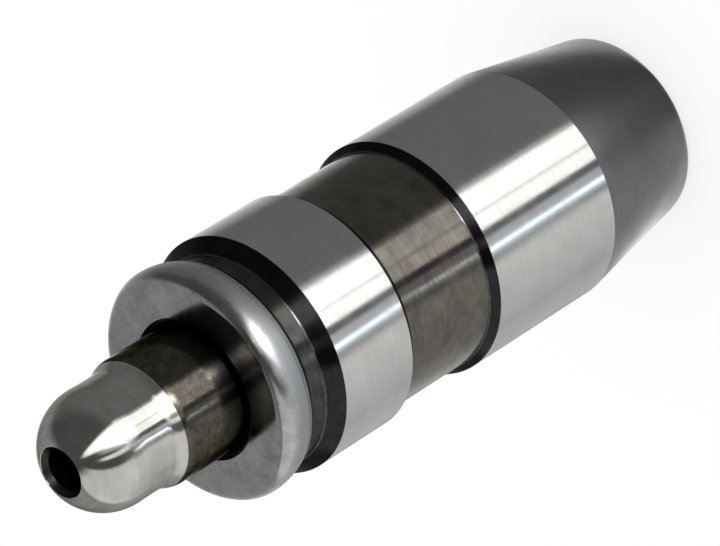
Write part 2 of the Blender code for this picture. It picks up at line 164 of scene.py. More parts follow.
TRANSFER_HOLE_RADIUS = 0.8
RESERVOIR_RADIUS = 4.4
RESERVOIR_TOP_Z = 36.55
NECK_BORE_RADIUS = 2.905
NECK_BORE_TOP_Z = 45.5

# Coil springs.
# The return spring's ends are ground flat, so its wire's middle lies an inset inside them.
RETURN_SPRING_WIRE = 0.8
RETURN_SPRING_TURNS = 5.0
RETURN_SPRING_DEAD_TURNS = 1.0
RETURN_SPRING_INSET = RETURN_SPRING_WIRE / 8
BALL_SPRING_WIRE = 0.16
BALL_SPRING_TURNS = 3.0
DEAD_TURN_PITCH_FACTOR = 1.06
COIL_POINTS_PER_TURN = 72
WIRE_SIDES = 16

# Marks in the metal: the length of turning rings round the axis, the size of pits, how much broader
# and deeper the soft noises are than the fine ones, and the quarter turn of the rings' gloss
RING_LENGTH = 6.0
BROAD_RING_LENGTH = 9.0
BROAD_RING_FACTOR = 6
TURNED_PIT = 0.12
SHEET_PIT = 0.1
WAVE_FACTOR = 1.7
WAVE_DEPTH_FACTOR = 4
RING_STREAK_ROTATION = 0.25

# Camera
CAMERA_DISTANCE = 358.37
CAMERA_ELEVATION_DEGREES = 38.166
CAMERA_AZIMUTH_DEGREES = -0.142
CAMERA_ROLL_DEGREES = -121.848
CAMERA_AIM = Vector((0.698, 0.0, 24.37))
CAMERA_LENS = 288.17
CAMERA_SENSOR_WIDTH = 36.0
CAMERA_CLIP_START = 10.0

# White floor, which glows by itself and still takes a soft shadow
FLOOR_SIZE = 6000.0
FLOOR_TONE = 0.26
FLOOR_ROUGHNESS = 0.9
FLOOR_GLOW = 0.76

# Studio floor: soft cards that only reflections see and that fan out from the body's foot. Each
# card's two edges are given by the angle round the body, from the side that faces the camera, at
# which that edge is mirrored, with the card's brightness at both edges.
FLOOR_CARDS = (
    ("card_behind_right", -90.0, -78.0, 0.42, 0.68),
    ("card_side_right", -78.0, -58.0, 0.74, 0.60),
    ("card_pale", -58.0, -25.0, 0.55, 0.78),
    ("card_pale_edge", -25.0, -20.6, 0.78, 0.30),
    ("strip_edge", -20.6, -17.7, 0.40, 1.1),
    ("strip_cool", -17.7, -16.0, 2.5, 2.5),
    ("card_violet", -16.0, -11.3, 0.60, 0.60),
    ("softbox_right", -7.4, -0.7, 1.60, 1.60),
    ("softbox_seam", -0.7, 0.7, 1.0, 1.0),
    ("softbox_left", 0.7, 11.0, 1.7, 1.65),
    ("softbox_fall", 11.0, 14.0, 0.7, 0.20),
    ("card_dark", 14.0, 64.0, 0.17, 0.17),
    ("card_behind_left", 64.0, 90.0, 0.2, 1.4),
)
CARD_TINTS = {
    "strip_edge": (0.84, 0.93, 1.0),
    "strip_cool": (0.84, 0.93, 1.0),
    "card_violet": (0.96, 0.97, 1.06),
}
WHITE = (1.0, 1.0, 1.0)
CARD_LIFT = 0.2
CARD_STEP_DEGREES = 3

# Dark card just under the others, which shows in the gap between card_violet and softbox_right
BACKING = ("card_backing", -24.0, 2.0, 0.13, 0.13)
BACKING_DROP = 0.1

# Distances from the body at which a card's brightness is set. It has the foot's glow up to the foot
# reach and its own up to the near one, and turns to the room's glow up to the far one.
STUDIO_RADIUS = 600.0
CARD_REACHES = (-2.0, 6.0, 9.0, 30.0, 60.0, 90.0, 150.0, 300.0, STUDIO_RADIUS)
CARD_FOOT_REACH = 6.0
CARD_NEAR_REACH = 60.0
CARD_FAR_REACH = 300.0

# Glow close to the body's foot, which only the steep tail taper mirrors: an even part, and parts
# with their brightness, the angle of their edge and their soft margin
FOOT_GLOW = 0.15
FOOT_GLOW_FRONT = (0.09, 14.0, 20.0)
FOOT_GLOW_RIGHT = (0.37, 18.0, 20.0)
FOOT_GLOW_SIDES = (1.4, 72.0, 32.0)

# Studio walls, soft boxes and a lamp on the dark room, in degrees of azimuth from the camera's side
# and of elevation: the middle and half width at the floor, the same two at the panel's top edge, its
# height, its soft margin at the sides and its brightness over the room's.
ROOM_PANELS = (
    ("wall_right", -84.0, 42.0, -92.0, 34.0, 72.0, 8.0, 0.66),
    ("wall_back", 185.0, 52.0, 180.0, 50.0, 66.0, 22.0, 0.26),
    ("tall_strip", -23.0, 4.0, -27.0, 3.5, 50.0, 3.0, 0.9),
    ("softbox", 4.0, 19.0, 10.0, 9.0, 72.0, 7.0, 1.6),
    ("softbox_spill", -14.0, 5.0, -10.0, 5.0, 48.0, 4.0, 0.4),
    ("lamp", 6.0, 7.0, 7.0, 6.0, 34.0, 4.0, 10.0),
)
PANEL_TOP_MARGIN = 20.0
ROOM_GLOW = 0.09
ROOM_GLOW_AT_FLOOR = 0.16
ROOM_FLOOR_GLOW_TOP = 12.0
ROOM_FLOOR_GLOW_MARGIN = 24.0
ROOM_AZIMUTH_STEP = 2
ROOM_ELEVATION_STEP = 3


# Shapes


def arc(centre_radius, centre_z, radius, start_degrees, end_degrees, steps):
    """Profile points on an arc, with 0 degrees pointing outwards and 90 degrees up."""
    points = []
    for step in range(steps + 1):
        angle = math.radians(start_degrees + (end_degrees - start_degrees) * step / steps)
        points.append((centre_radius + radius * math.cos(angle), centre_z + radius * math.sin(angle)))
    return points


def round_axis(radius, angle, height):
    """Point in metres at a radius and height in mm, turned round the Z axis."""
    return (radius * math.cos(angle) * MM, radius * math.sin(angle) * MM, height * MM)


def add_object(name, mesh):
    piece = bpy.data.objects.new(name, mesh)
    bpy.context.scene.collection.objects.link(piece)
    return piece


def turned(name, zones, closed, materials):
    """Turn zones of a profile about the Z axis.

    Each zone is (material name, points), and its first point joins the last one of the zone before.
    """
    points, zone_of_point = [], []
    for material_name, zone_points in zones:
        for point in zone_points:
            points.append(point)
            zone_of_point.append(list(materials).index(material_name))
    mesh = bpy.data.meshes.new(name)
    edit = bmesh.new()
    rings = []
    for radius, height in points:
        if radius < AXIS_TOLERANCE:
            rings.append([edit.verts.new((0.0, 0.0, height * MM))])
            continue
        ring = []
        for segment in range(FULL_TURN_SEGMENTS):
            angle = math.tau * segment / FULL_TURN_SEGMENTS
            ring.append(edit.verts.new(round_axis(radius, angle, height)))
        rings.append(ring)
    pairs = list(zip(rings, rings[1:], zone_of_point[1:]))
    if closed:
        pairs.append((rings[-1], rings[0], zone_of_point[-1]))
    for first, second, zone in pairs:
        for face in band(edit, first, second):
            face.material_index = zone
            face.smooth = True
    edit.normal_update()
    edit.to_mesh(mesh)
    edit.free()
    for material in materials.values():
        mesh.materials.append(material)
    return add_object(name, mesh)


def band(edit, first, second):
    """Faces between two rings, of which one may be a single point on the axis."""
    count = max(len(first), len(second))
    faces = []
    for index in range(count):
        following = (index + 1) % count
        if len(first) == 1:
            corners = (first[0], second[following], second[index])
        elif len(second) == 1:
            corners = (first[index], first[following], second[0])
        else:
            corners = (first[index], first[following], second[following], second[index])
        faces.append(edit.faces.new(corners[::-1]))
    return faces


def drill(piece, radius, start, end, height):
    """Cut a round hole along +Y between two distances from the axis."""
    bpy.ops.mesh.primitive_cylinder_add(
        vertices=DRILL_SIDES,
        radius=radius * MM,
        depth=(end - start) * MM,
        location=(0.0, (start + end) / 2 * MM, height * MM),
        rotation=(math.radians(90), 0.0, 0.0),
    )
    cutter = bpy.context.object
    modifier = piece.modifiers.new("hole", "BOOLEAN")
    modifier.operation = "DIFFERENCE"
    modifier.solver = "EXACT"
    modifier.object = cutter
    depsgraph = bpy.context.evaluated_depsgraph_get()
    mesh = bpy.data.meshes.new_from_object(piece.evaluated_get(depsgraph))
    piece.modifiers.clear()
    piece.data = mesh
    bpy.data.objects.remove(cutter, do_unlink=True)


def finish_piece(piece, node, body, smooth_degrees=SMOOTH_DEGREES):
    """Smooth the piece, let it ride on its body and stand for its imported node."""
    piece.data.shade_smooth()
    piece.data.set_sharp_from_angle(angle=math.radians(smooth_degrees))
    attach(piece, body)
    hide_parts(node)


# Finishes


class Nodes:
    """Short calls for building one metal's node tree."""

    def __init__(self, name):
        self.material = bpy.data.materials.new(name)
        self.material.use_nodes = True
        self.tree = self.material.node_tree
        self.shader = self.tree.nodes["Principled BSDF"]
        self.shader.inputs["Metallic"].default_value = 1.0
        self.place = self.tree.nodes.new("ShaderNodeTexCoord").outputs["Object"]

    def link(self, output, target):
        self.tree.links.new(output, target)

    def noise(self, across, along, detail, roughness=0.55, offset=0.0):
        """Noise whose grains are across mm wide round the axis and along mm high on it.

        Each noise of a metal has its own offset, so that no two of them follow one another.
        """
        mapping = self.tree.nodes.new("ShaderNodeMapping")
        mapping.inputs["Scale"].default_value = (1 / (across * MM), 1 / (across * MM), 1 / (along * MM))
        mapping.inputs["Location"].default_value = (offset, offset, offset)
        self.link(self.place, mapping.inputs["Vector"])
        texture = self.tree.nodes.new("ShaderNodeTexNoise")
        texture.inputs["Scale"].default_value = 1.0
        texture.inputs["Detail"].default_value = detail
        texture.inputs["Roughness"].default_value = roughness
        self.link(mapping.outputs["Vector"], texture.inputs["Vector"])
        return texture.outputs["Fac"]

    def height(self):
        node = self.tree.nodes.new("ShaderNodeSeparateXYZ")
        self.link(self.place, node.inputs["Vector"])
        return node.outputs["Z"]

    def spread(self, value, low, high, from_low=0.35, from_high=0.65):
        """Stretch a value from one range to another."""
        node = self.tree.nodes.new("ShaderNodeMapRange")
        node.inputs["From Min"].default_value = from_low
        node.inputs["From Max"].default_value = from_high
        node.inputs["To Min"].default_value = low
        node.inputs["To Max"].default_value = high
        self.link(value, node.inputs["Value"])
        return node.outputs["Result"]

    def add(self, first, second):
        node = self.tree.nodes.new("ShaderNodeMath")
        node.operation = "ADD"
        self.link(first, node.inputs[0])
        self.link(second, node.inputs[1])
        return node.outputs["Value"]

    def times(self, value, factor):
        node = self.tree.nodes.new("ShaderNodeMath")
        node.operation = "MULTIPLY"
        self.link(value, node.inputs[0])
        node.inputs[1].default_value = factor
        return node.outputs["Value"]

    def mix(self, first, second, second_share):
        """Weighted sum of two values, whose shares make up 1."""
        return self.add(self.times(first, 1 - second_share), self.times(second, second_share))

    def blend(self, factor, first, second):
        """Mix two colours, of which each is a tuple or an output."""
        node = self.tree.nodes.new("ShaderNodeMix")
        node.data_type = "RGBA"
        self.link(factor, node.inputs["Factor"])
        for colour, socket in ((first, node.inputs["A"]), (second, node.inputs["B"])):
            if isinstance(colour, tuple):
                socket.default_value = (*colour, 1.0)
            else:
                self.link(colour, socket)
        return node.outputs["Result"]

    def bump(self, height, depth, below=None):
        """Dents as deep as depth in mm, on top of those of another bump."""
        node = self.tree.nodes.new("ShaderNodeBump")
        node.inputs["Distance"].default_value = depth * MM
        self.link(height, node.inputs["Height"])
        if below:
            self.link(below, node.inputs["Normal"])
        return node.outputs["Normal"]

    def finish(self, colour, roughness, normal, anisotropic, edge_tint):
        self.link(colour, self.shader.inputs["Base Color"])
        self.shader.inputs["Specular Tint"].default_value = (edge_tint, edge_tint, edge_tint, 1.0)
        self.link(roughness, self.shader.inputs["Roughness"])
        self.link(normal, self.shader.inputs["Normal"])
        if anisotropic:
            self.shader.inputs["Anisotropic"].default_value = anisotropic
            self.shader.inputs["Anisotropic Rotation"].default_value = RING_STREAK_ROTATION
        return self.material


def ringed_metal(
        name, light, dark, roughness, ring, ring_depth, patch, anisotropic=0.0, grain=0.0, edge_tint=1.0):
    """Steel with rings from turning or grinding, patches of tone and uneven gloss.

    Roughness is a pair, ring and patch are sizes in mm, and grain is the depth of a fine pitting.
    """
    nodes = Nodes(name)
    rings = nodes.noise(across=RING_LENGTH, along=ring, detail=4.0, roughness=0.6)
    broad_rings = nodes.noise(
        across=BROAD_RING_LENGTH, along=ring * BROAD_RING_FACTOR, detail=2.0, offset=3.7)
    patches = nodes.noise(across=patch, along=patch, detail=4.0, offset=1.3)
    tone = nodes.mix(rings, patches, second_share=0.6)
    colour = nodes.blend(nodes.spread(tone, 0.0, 1.0), light, dark)
    gloss = nodes.mix(broad_rings, patches, second_share=0.5)
    rough = nodes.spread(gloss, roughness[0], roughness[1])
    normal = nodes.bump(rings, ring_depth)
    if grain:
        pits = nodes.noise(across=TURNED_PIT, along=TURNED_PIT, detail=2.0, offset=5.1)
        normal = nodes.bump(pits, grain, below=normal)
    return nodes.finish(colour, rough, normal, anisotropic, edge_tint)


def mottled_metal(
        name, light, dark, roughness, patch, grain, edge_tint=1.0, duller_below=None, darker_below=None):
    """Steel sheet or wire with soft mottling and a fine even grain.

    With duller_below, given as (height, height, roughness), the roughness grows downwards between the
    heights, and with darker_below, given as (height, height, colour), the tone turns to that colour.
    """
    nodes = Nodes(name)
    patches = nodes.noise(across=patch, along=patch, detail=5.0, roughness=0.6, offset=2.2)
    pits = nodes.noise(across=SHEET_PIT, along=SHEET_PIT, detail=2.0, offset=4.4)
    waves = nodes.noise(across=patch * WAVE_FACTOR, along=patch * WAVE_FACTOR, detail=1.0, offset=6.0)
    tone = nodes.mix(patches, pits, second_share=0.3)
    colour = nodes.blend(nodes.spread(tone, 0.0, 1.0), light, dark)
    if darker_below:
        high, low, foot_colour = darker_below
        colour = nodes.blend(nodes.spread(nodes.height(), 1.0, 0.0, low * MM, high * MM), colour, foot_colour)
    rough = nodes.spread(patches, roughness[0], roughness[1])
    if duller_below:
        high, low, growth = duller_below
        rough = nodes.add(rough, nodes.spread(nodes.height(), growth, 0.0, low * MM, high * MM))
    normal = nodes.bump(waves, grain * WAVE_DEPTH_FACTOR)
    normal = nodes.bump(pits, grain, below=normal)
    return nodes.finish(colour, rough, normal, 0.0, edge_tint)


def body_finishes():
    return {
        "land": ringed_metal(
            "ground_land", (0.66, 0.66, 0.64), (0.58, 0.58, 0.56), roughness=(0.12, 0.19),
            ring=0.13, ring_depth=0.0034, patch=2.5, anisotropic=0.75, edge_tint=0.75),
        "groove": ringed_metal(
            "turned_groove", (0.21, 0.19, 0.16), (0.11, 0.105, 0.096), roughness=(0.09, 0.19),
            ring=0.13, ring_depth=0.0034, patch=1.3, anisotropic=0.6, grain=0.001, edge_tint=0.9),
        "body_neck": ringed_metal(
            "dark_body_neck", (0.11, 0.104, 0.095), (0.052, 0.051, 0.05), roughness=(0.12, 0.24),
            ring=0.10, ring_depth=0.0018, patch=1.0, anisotropic=0.2, grain=0.0008, edge_tint=0.5),
        "shoulder": ringed_metal(
            "dark_shoulder", (0.044, 0.043, 0.043), (0.022, 0.022, 0.024), roughness=(0.09, 0.18),
            ring=0.10, ring_depth=0.0018, patch=1.0, anisotropic=0.2, grain=0.0008, edge_tint=0.5),
        # Lighter band in the shoulders' inner fillets: a painted highlight, so that the lamp shows there as
        # bright slits.
        "highlight_fillet": ringed_metal(
            "highlight_fillet", (0.13, 0.13, 0.13), (0.06, 0.06, 0.06), roughness=(0.08, 0.15),
            ring=0.10, ring_depth=0.0018, patch=0.6, anisotropic=0.2, edge_tint=0.5),
        "tail": ringed_metal(
            "hardened_tail", (0.155, 0.154, 0.156), (0.115, 0.114, 0.116), roughness=(0.40, 0.52),
            ring=0.2, ring_depth=0.002, patch=1.8, grain=0.0012),
        "bore": ringed_metal(
            "honed_bore", (0.42, 0.42, 0.41), (0.3, 0.3, 0.29), roughness=(0.2, 0.3),
            ring=0.12, ring_depth=0.002, patch=2.0),
    }


def cap_finishes():
    return {
        "cap": mottled_metal(
            "stamped_cap", (0.58, 0.583, 0.567), (0.36, 0.365, 0.363), roughness=(0.11, 0.19),
            patch=1.1, grain=0.001,
            duller_below=(cap_top_z - CAP_DULL_START, cap_top_z - CAP_TONE_END, 0.36),
            darker_below=(cap_top_z - CAP_DARK_START, cap_top_z - CAP_TONE_END, (0.33, 0.339, 0.345))),
    }


def plunger_finishes():
    return {
        "polish": ringed_metal(
            "polished_nose", (0.68, 0.665, 0.63), (0.53, 0.515, 0.48), roughness=(0.06, 0.11),
            ring=0.11, ring_depth=0.0014, patch=1.1, anisotropic=0.4, edge_tint=0.4),
        "neck": mottled_metal(
            "dark_neck", (0.15, 0.134, 0.108), (0.06, 0.056, 0.051), roughness=(0.08, 0.18),
            patch=0.5, grain=0.0018, edge_tint=0.3,
            # Painted shade: the neck's foot, just above the cap, turns almost black.
            darker_below=(SHOULDER_Z + NECK_SHADE_START, SHOULDER_Z + NECK_SHADE_END, (0.02, 0.019, 0.018))),
        "guide": ringed_metal(
            "ground_guide", (0.58, 0.58, 0.57), (0.48, 0.48, 0.47), roughness=(0.13, 0.22),
            ring=0.1, ring_depth=0.002, patch=2.2, anisotropic=0.6),
        # Near-black inside the plunger's bores and on its transfer groove: painted shade in these hollows.
        "painted_shade_bore": ringed_metal(
            "drilled_bore_painted_shade", (0.07, 0.068, 0.065), (0.04, 0.039, 0.038), roughness=(0.25, 0.4),
            ring=0.3, ring_depth=0.004, patch=1.5, edge_tint=0.3),
    }


def valve_finishes():
    return {
        "ball": mottled_metal(
            "bearing_ball", (0.74, 0.74, 0.74), (0.68, 0.68, 0.68), roughness=(0.05, 0.09),
            patch=1.0, grain=0.0002),
        "cage": mottled_metal(
            "pressed_cage", (0.48, 0.465, 0.43), (0.38, 0.37, 0.34), roughness=(0.28, 0.4),
            patch=0.6, grain=0.001),
        "spring": mottled_metal(
            "spring_wire", (0.34, 0.33, 0.31), (0.22, 0.21, 0.2), roughness=(0.28, 0.42),
            patch=0.5, grain=0.001),
    }


def make_finishes():
    finishes = {**body_finishes(), **cap_finishes(), **plunger_finishes(), **valve_finishes()}
    oxide = finishes["tail"].node_tree.nodes["Principled BSDF"].inputs
    oxide["Coat Weight"].default_value = 0.8
    oxide["Coat Roughness"].default_value = 0.3
    oxide["Coat IOR"].default_value = 1.6
    return finishes


def pick(finishes, *names):
    return {name: finishes[name] for name in names}


# Pieces


def shoulder(small_radius, small_z, large_radius, up):
    """Points of a 45 degree shoulder from a small radius to a large one, with a fillet and a broken edge.

    It widens upwards with up at 1, and downwards with up at -1.
    """
    rise = (large_radius - small_radius) * up
    half_turn = math.tan(math.radians(SHOULDER_DEGREES / 2))
    setback = SHOULDER_FILLET * half_turn
    centre_z = small_z - setback * up
    fillet_end = 180 - SHOULDER_DEGREES * up
    fillet = arc(
        small_radius + SHOULDER_FILLET, centre_z, SHOULDER_FILLET, 180, fillet_end, SHOULDER_FILLET_STEPS)
    break_centre = large_radius - LAND_EDGE_BREAK
    edge_z = small_z + rise + LAND_EDGE_BREAK * half_turn * up
    edge = arc(break_centre, edge_z, LAND_EDGE_BREAK, -SHOULDER_DEGREES * up, 0, LAND_EDGE_STEPS)
    return fillet + edge


def build_body(finishes):
    """Closed cup with two ground lands, an oil groove between them and a neck for the cap."""
    bore_radius = body_radius - BODY_WALL
    neck_radius = body_radius - BODY_NECK_DEPTH
    groove_radius = body_radius - GROOVE_DEPTH
    cap_groove_high_z = cap_edge_z + CAP_LIP_LENGTH + CAP_GROOVE_MARGIN
    cap_groove_low_z = cap_edge_z - CAP_GROOVE_MARGIN
    bore = [(0.0, BORE_FLOOR_Z)]
    bore += arc(
        bore_radius - BORE_FLOOR_FILLET, BORE_FLOOR_Z + BORE_FLOOR_FILLET, BORE_FLOOR_FILLET,
        -90, 0, BORE_FLOOR_FILLET_STEPS)
    bore += [(bore_radius, body_top_z - BORE_MOUTH_CHAMFER)]
    mouth = [
        (bore_radius + BORE_MOUTH_CHAMFER, body_top_z),
        (neck_radius - CAP_SEAT_CHAMFER, body_top_z),
        (neck_radius, body_top_z - CAP_SEAT_CHAMFER),
        (neck_radius, cap_groove_high_z + CAP_GROOVE_DEPTH),
        (neck_radius - CAP_GROOVE_DEPTH, cap_groove_high_z),
        (neck_radius - CAP_GROOVE_DEPTH, cap_groove_low_z),
        (neck_radius, cap_groove_low_z - CAP_GROOVE_DEPTH),
    ]
    front_shoulder = shoulder(neck_radius, FRONT_LAND_END_Z + BODY_NECK_DEPTH, body_radius, -1)
    groove_high = shoulder(groove_radius, GROOVE_END_Z - GROOVE_DEPTH, body_radius, 1)[::-1]
    groove_low = shoulder(groove_radius, GROOVE_START_Z + GROOVE_DEPTH, body_radius, -1)
    fillet_points = SHOULDER_FILLET_STEPS + 1
    zones = (
        ("bore", bore),
        ("shoulder", mouth),
        ("body_neck", front_shoulder[:HIGHLIGHT_FILLET_START]),
        ("highlight_fillet", front_shoulder[HIGHLIGHT_FILLET_START:fillet_points]),
        ("shoulder", front_shoulder[fillet_points:]),
        ("land", groove_high[:1]),
        # The dark finish on this hidden shoulder and its fillet is a painted shadow: a thin dark line along
        # the groove's top edge.
        ("shoulder", groove_high[1:]),
        ("groove", groove_low[:1]),
        ("shoulder", groove_low[1:HIGHLIGHT_FILLET_START]),
        ("highlight_fillet", groove_low[HIGHLIGHT_FILLET_START:fillet_points]),
        ("shoulder", groove_low[fillet_points:]),
        ("land", [(body_radius, TAIL_TAPER_LENGTH + LAND_FOOT_HEIGHT)]),
        ("tail", tail_outline()),
    )
    names = ("bore", "body_neck", "shoulder", "highlight_fillet", "land", "groove", "tail")
    body = turned("body", zones, False, pick(finishes, *names))
    drill(body, FEED_HOLE_RADIUS, bore_radius / 2, body_radius * 2, (GROOVE_START_Z + GROOVE_END_Z) / 2)
    finish_piece(body, "lifter_body", "housing")


def tail_outline():
    """Tapered tail with a rounded edge, down to the middle of the flat end."""
    slope = math.radians(TAIL_TAPER_DEGREES)
    edge = TAIL_EDGE_RADIUS
    taper_radius = body_radius - (TAIL_TAPER_LENGTH - edge) * math.tan(slope)
    centre_radius = taper_radius - edge / math.cos(slope)
    return (
        [(body_radius - LAND_FOOT_BREAK, TAIL_TAPER_LENGTH)]
        + arc(centre_radius, edge, edge, -TAIL_TAPER_DEGREES, -90, TAIL_EDGE_STEPS)
        + [(0.0, 0.0)]
    )


def build_cap(finishes):
    """Flat face, round rim and a skirt that curves in to the lip held by the body's groove."""
    rim_centre_radius = cap_radius - CAP_RIM_RADIUS
    rim_centre_z = cap_top_z - CAP_RIM_RADIUS
    drop = rim_centre_z - cap_edge_z
    skirt_radius = (drop ** 2 + CAP_CRIMP ** 2) / (2 * CAP_CRIMP)
    skirt_centre = cap_radius - skirt_radius
    edge_angle = -math.degrees(math.asin((drop - CAP_EDGE_ROUND) / skirt_radius))
    edge_radius = cap_radius - CAP_CRIMP
    face = arc(
        CAP_HOLE_RADIUS + CAP_HOLE_EDGE, cap_top_z - CAP_HOLE_EDGE, CAP_HOLE_EDGE, 180, 90, CAP_EDGE_STEPS)
    outside = arc(rim_centre_radius, rim_centre_z, CAP_RIM_RADIUS, 90, 0, CAP_RIM_STEPS)
    skirt = arc(skirt_centre, rim_centre_z, skirt_radius, 0, edge_angle, CAP_SKIRT_STEPS)
    for radius, height in skirt[1:]:
        near_line = abs(height - cap_edge_z - CAP_TRIM_LINE_HEIGHT) < CAP_TRIM_LINE_WIDTH / 2
        outside.append((radius - CAP_TRIM_LINE_DEPTH if near_line else radius, height))
    outside += arc(
        edge_radius - CAP_EDGE_ROUND, cap_edge_z + CAP_EDGE_ROUND, CAP_EDGE_ROUND,
        CAP_EDGE_ROUND_START_DEGREES, -90, CAP_EDGE_STEPS)

    lip_radius = edge_radius - CAP_SHEET - CAP_LIP_INSET
    skirt_inner = skirt_radius - CAP_SHEET
    lip_angle = -math.degrees(math.asin((drop - CAP_LIP_LENGTH) / skirt_inner))
    rim_inner = CAP_RIM_RADIUS - CAP_SHEET
    inside = [(lip_radius, cap_edge_z), (lip_radius, cap_edge_z + CAP_LIP_LENGTH - CAP_LIP_INSET)]
    inside += arc(skirt_centre, rim_centre_z, skirt_inner, lip_angle, 0, CAP_SKIRT_INNER_STEPS)
    inside += arc(rim_centre_radius, rim_centre_z, rim_inner, 0, 90, CAP_RIM_INNER_STEPS)[1:]
    inside += [(CAP_HOLE_RADIUS, cap_top_z - CAP_SHEET)]
    cap = turned("cap", (("cap", face + outside + inside),), True, pick(finishes, "cap"))
    finish_piece(cap, "retainer_cap", "housing")


def nose_outline():
    """Ball nose, waist and flare, as zones from the tip hole's edge down to the neck."""
    ball = BALL_NOSE_RADIUS
    waist = ball - WAIST_UNDERCUT
    tip_angle = math.degrees(math.acos(TIP_HOLE_RADIUS / ball))
    ball_centre_z = tip_z - ball * math.sin(math.radians(tip_angle))
    points = arc(0.0, ball_centre_z, ball, tip_angle, -BALL_END_DEGREES, BALL_NOSE_STEPS)
    ball_end_radius, ball_end_z = points[-1]
    blend_length = 2 * (ball_end_radius - waist) / math.tan(math.radians(BALL_END_DEGREES))
    for step in range(1, WAIST_STEPS + 1):
        part = step / WAIST_STEPS
        radius = waist + (ball_end_radius - waist) * (1 - part) ** 2
        points.append((radius, ball_end_z - blend_length * part))
    for step in range(FLARE_STEPS + 1):
        part = step / FLARE_STEPS
        swell = (1 - math.cos(math.pi * part)) / 2
        height = tip_z - FLARE_START_BELOW_TIP - FLARE_LENGTH * part
        points.append((waist + (NECK_RADIUS - waist) * swell, height))
    polished = len(points) - FLARE_STEPS + POLISHED_FLARE_STEPS
    return points[1:polished], points[polished:]


def build_upper_plunger(finishes):
    """Ball nose and neck above the cap, and the guided length with its oil passages below it."""
    polished, neck = nose_outline()
    neck += arc(
        NECK_RADIUS + NECK_FILLET, SHOULDER_Z + NECK_FILLET, NECK_FILLET, 180, 270, NECK_FILLET_STEPS)
    neck += [(guide_radius - GUIDE_CHAMFER, SHOULDER_Z)]
    groove_radius = guide_radius - TRANSFER_GROOVE_DEPTH
    upper_guide = [
        (guide_radius, SHOULDER_Z - GUIDE_CHAMFER),
        (guide_radius, TRANSFER_GROOVE_HIGH_Z + TRANSFER_GROOVE_DEPTH),
    ]
    transfer_groove = [
        (groove_radius, TRANSFER_GROOVE_HIGH_Z),
        (groove_radius, TRANSFER_GROOVE_LOW_Z),
        (guide_radius, TRANSFER_GROOVE_LOW_Z - TRANSFER_GROOVE_DEPTH),
    ]
    lower_guide = [
        (guide_radius, joint_z + GUIDE_CHAMFER),
        (guide_radius - GUIDE_CHAMFER, joint_z),
        (RESERVOIR_RADIUS, joint_z),
    ]
    painted_shade_bore = [
        (RESERVOIR_RADIUS, RESERVOIR_TOP_Z),
        (NECK_BORE_RADIUS, RESERVOIR_TOP_Z + RESERVOIR_RADIUS - NECK_BORE_RADIUS),
        (NECK_BORE_RADIUS, NECK_BORE_TOP_Z),
        (TIP_PASSAGE_RADIUS, NECK_BORE_TOP_Z + NECK_BORE_RADIUS - TIP_PASSAGE_RADIUS),
        (TIP_PASSAGE_RADIUS, tip_z - TIP_COUNTERSINK_DEPTH),
        (TIP_HOLE_RADIUS - TIP_HOLE_EDGE, tip_z - TIP_HOLE_EDGE),
    ]
    rim = [(TIP_HOLE_RADIUS, tip_z)]
    zones = (
        ("polish", polished),
        ("neck", neck),
        ("guide", upper_guide),
        ("painted_shade_bore", transfer_groove),
        ("guide", lower_guide),
        ("painted_shade_bore", painted_shade_bore),
        ("polish", rim),
    )
    plunger = turned("nose_plunger", zones, True, pick(finishes, "polish", "neck", "guide", "painted_shade_bore"))
    hole_z = (TRANSFER_GROOVE_LOW_Z + TRANSFER_GROOVE_HIGH_Z) / 2
    drill(plunger, TRANSFER_HOLE_RADIUS, RESERVOIR_RADIUS / 2, body_radius * 2, hole_z)
    finish_piece(plunger, "upper_plunger", "nose")


def coil_height(turn, turns, dead_turns, dead_pitch, height):
    """Height of the wire's middle above the coil's first point, for a coil with closed ends."""
    if turn < dead_turns:
        return turn * dead_pitch
    if turn > turns - dead_turns:
        return height - (turns - turn) * dead_pitch
    active_pitch = (height - 2 * dead_turns * dead_pitch) / (turns - 2 * dead_turns)
    return dead_turns * dead_pitch + (turn - dead_turns) * active_pitch


def wound_wire(name, mean_radius, wire, turns, dead_turns, wire_low, wire_high, low, high, material):
    """Round wire wound about the Z axis and ground flat at the heights low and high."""
    count = round(turns * COIL_POINTS_PER_TURN)
    vertices, faces = [], []
    for index in range(count + 1):
        turn = turns * index / count
        rise = coil_height(turn, turns, dead_turns, wire * DEAD_TURN_PITCH_FACTOR, wire_high - wire_low)
        for side in range(WIRE_SIDES):
            angle = math.tau * side / WIRE_SIDES
            radius = mean_radius + wire / 2 * math.cos(angle)
            height = min(max(wire_low + rise + wire / 2 * math.sin(angle), low), high)
            vertices.append(round_axis(radius, math.tau * turn, height))
    for index in range(count):
        for side in range(WIRE_SIDES):
            corner = index * WIRE_SIDES + side
            beside = index * WIRE_SIDES + (side + 1) % WIRE_SIDES
            faces.append((corner, corner + WIRE_SIDES, beside + WIRE_SIDES, beside))
    faces.append(tuple(range(WIRE_SIDES)))
    faces.append(tuple(reversed(range(count * WIRE_SIDES, (count + 1) * WIRE_SIDES))))
    mesh = bpy.data.meshes.new(name)
    mesh.from_pydata(vertices, [], faces)
    mesh.materials.append(material)
    return add_object(name, mesh)


def build_return_spring(finishes):
    """Coil between the bore's floor and the cage's flange, built at one length, though the real one shortens
    as the plunger sinks.
    """
    mean_radius = spring_high.x - RETURN_SPRING_WIRE / 2
    coil = wound_wire(
        "return_spring_coil", mean_radius, RETURN_SPRING_WIRE, RETURN_SPRING_TURNS, RETURN_SPRING_DEAD_TURNS,
        spring_low.z + RETURN_SPRING_INSET, spring_high.z - RETURN_SPRING_INSET,
        spring_low.z, spring_high.z, finishes["spring"])
    finish_piece(coil, "plunger_return_spring", "housing", WIRE_SMOOTH_DEGREES)
    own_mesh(coil)


